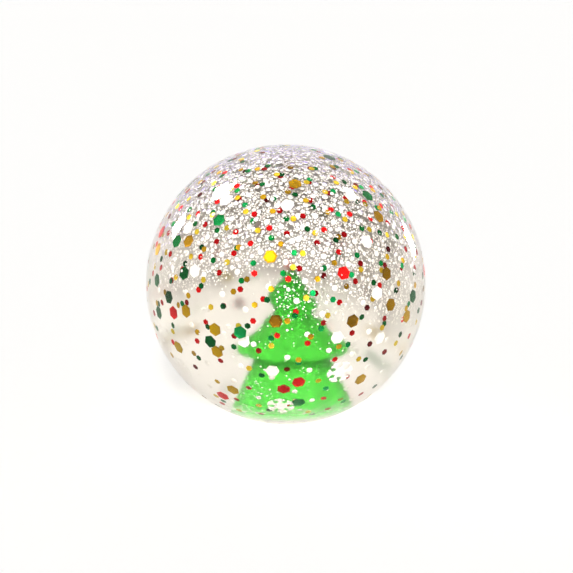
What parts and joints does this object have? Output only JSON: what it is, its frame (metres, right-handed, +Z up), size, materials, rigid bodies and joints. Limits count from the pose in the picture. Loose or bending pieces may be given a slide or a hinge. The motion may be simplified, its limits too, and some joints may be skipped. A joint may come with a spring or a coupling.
{
  "type": "squishy ball",
  "caption": "Clear soft liquid-filled squeeze ball with loose foil glitter and a small green tree on a soft stem inside, standing on a flat of its own making.",
  "frame": {"origin": "on the surface that the ball stands on, under its middle", "axes": "+Z up through the crown, -Y towards the viewer, +X to the viewer's right"},
  "size_m": [0.07, 0.07, 0.0692],
  "materials": {
    "clear_skin": "gloss",
    "plug": "satin",
    "stem": "satin",
    "tree": "satin",
    "liquid": "gloss",
    "gold_foil": "gloss",
    "green_foil": "gloss",
    "red_foil": "gloss",
    "pearl_film": "gloss"
  },
  "bodies": {
    "ball": {"clear_skin": "clear_skin", "fill_plug": "plug", "tree_stem": "stem"},
    "tree": {"tree_figure": "tree"},
    "glitter": {"liquid_fill": "liquid", "gold_hexes": "gold_foil", "green_hexes": "green_foil", "red_hexes": "red_foil", "white_hexes": "pearl_film", "snowflakes": "pearl_film", "gold_dots": "gold_foil", "green_dots": "green_foil", "red_dots": "red_foil", "white_dots": "pearl_film"},
    "crown": {"crown_snow": "pearl_film"}
  },
  "joints": [
    {"name": "tree_sway", "type": "hinge", "parent": "ball", "child": "tree", "pos_m": [0.0012, 0, 0.0072], "axis": [0, 1, 0], "range_deg": [-8, 8], "stiffness_Nm_per_rad": 0.02, "deforming": ["tree_stem"]},
    {"name": "swirl", "type": "hinge", "parent": "ball", "child": "glitter", "pos_m": [0, 0, 0.0342], "axis": [0, 0, 1], "continuous": true},
    {"name": "squeeze", "type": "slide", "parent": "glitter", "child": "crown", "axis": [0, 0, -1], "range_m": [0, 0.018], "stiffness_N_per_m": 600, "deforming": ["clear_skin", "liquid_fill"]}
  ]
}
